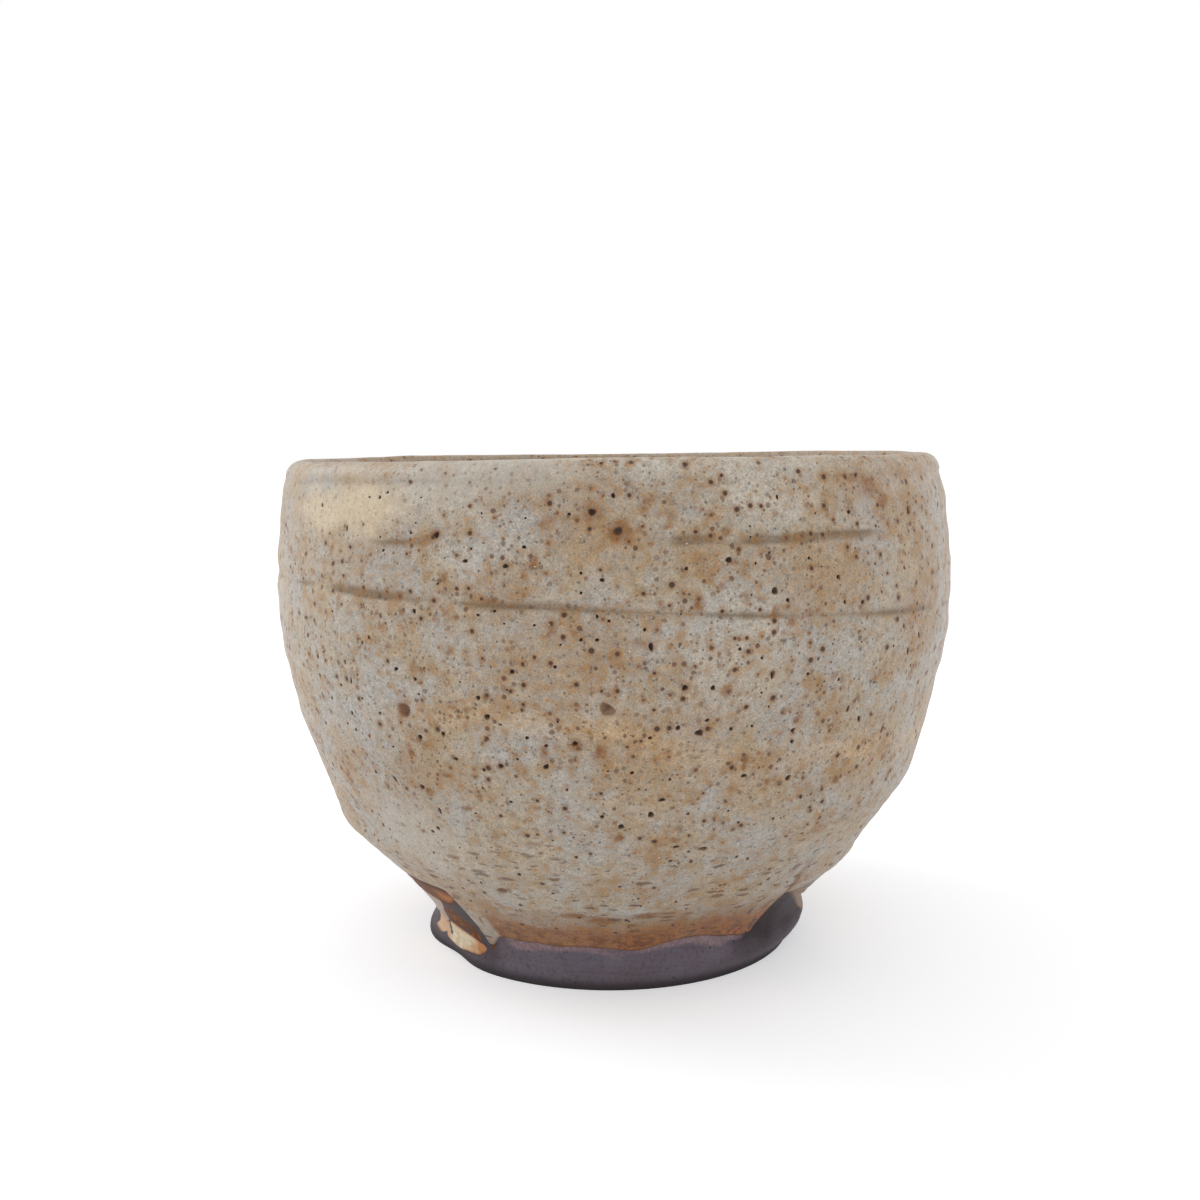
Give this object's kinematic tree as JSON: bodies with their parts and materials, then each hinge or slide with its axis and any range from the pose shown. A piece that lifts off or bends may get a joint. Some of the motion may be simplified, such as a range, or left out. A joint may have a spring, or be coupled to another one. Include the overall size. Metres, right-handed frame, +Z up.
{
  "type": "tea cup",
  "caption": "Round hand-thrown stoneware tea cup with no handle, ash glaze and a bare turned foot ring.",
  "frame": {"origin": "middle of the foot, on the surface that the cup stands on", "axes": "+Z up along the cup's axis, -Y towards the side that the picture shows"},
  "size_m": [0.0899, 0.0899, 0.0658],
  "materials": {
    "bare_clay": "bare fired stoneware, dark purple-grey to brown, matte with a faint sheen",
    "outer_glaze": "satin grey-beige ash glaze with rust specks and pinholes",
    "inner_glaze": "satin grey-beige ash glaze, a little smoother than outside",
    "patch_glaze": "thin cream glaze with an orange end"
  },
  "bodies": {
    "root": {"clay_bowl": "bare_clay", "foot_ring": "bare_clay", "outer_glaze": "outer_glaze", "inner_glaze": "inner_glaze", "foot_glaze_patch": "patch_glaze"}
  },
  "joints": []
}
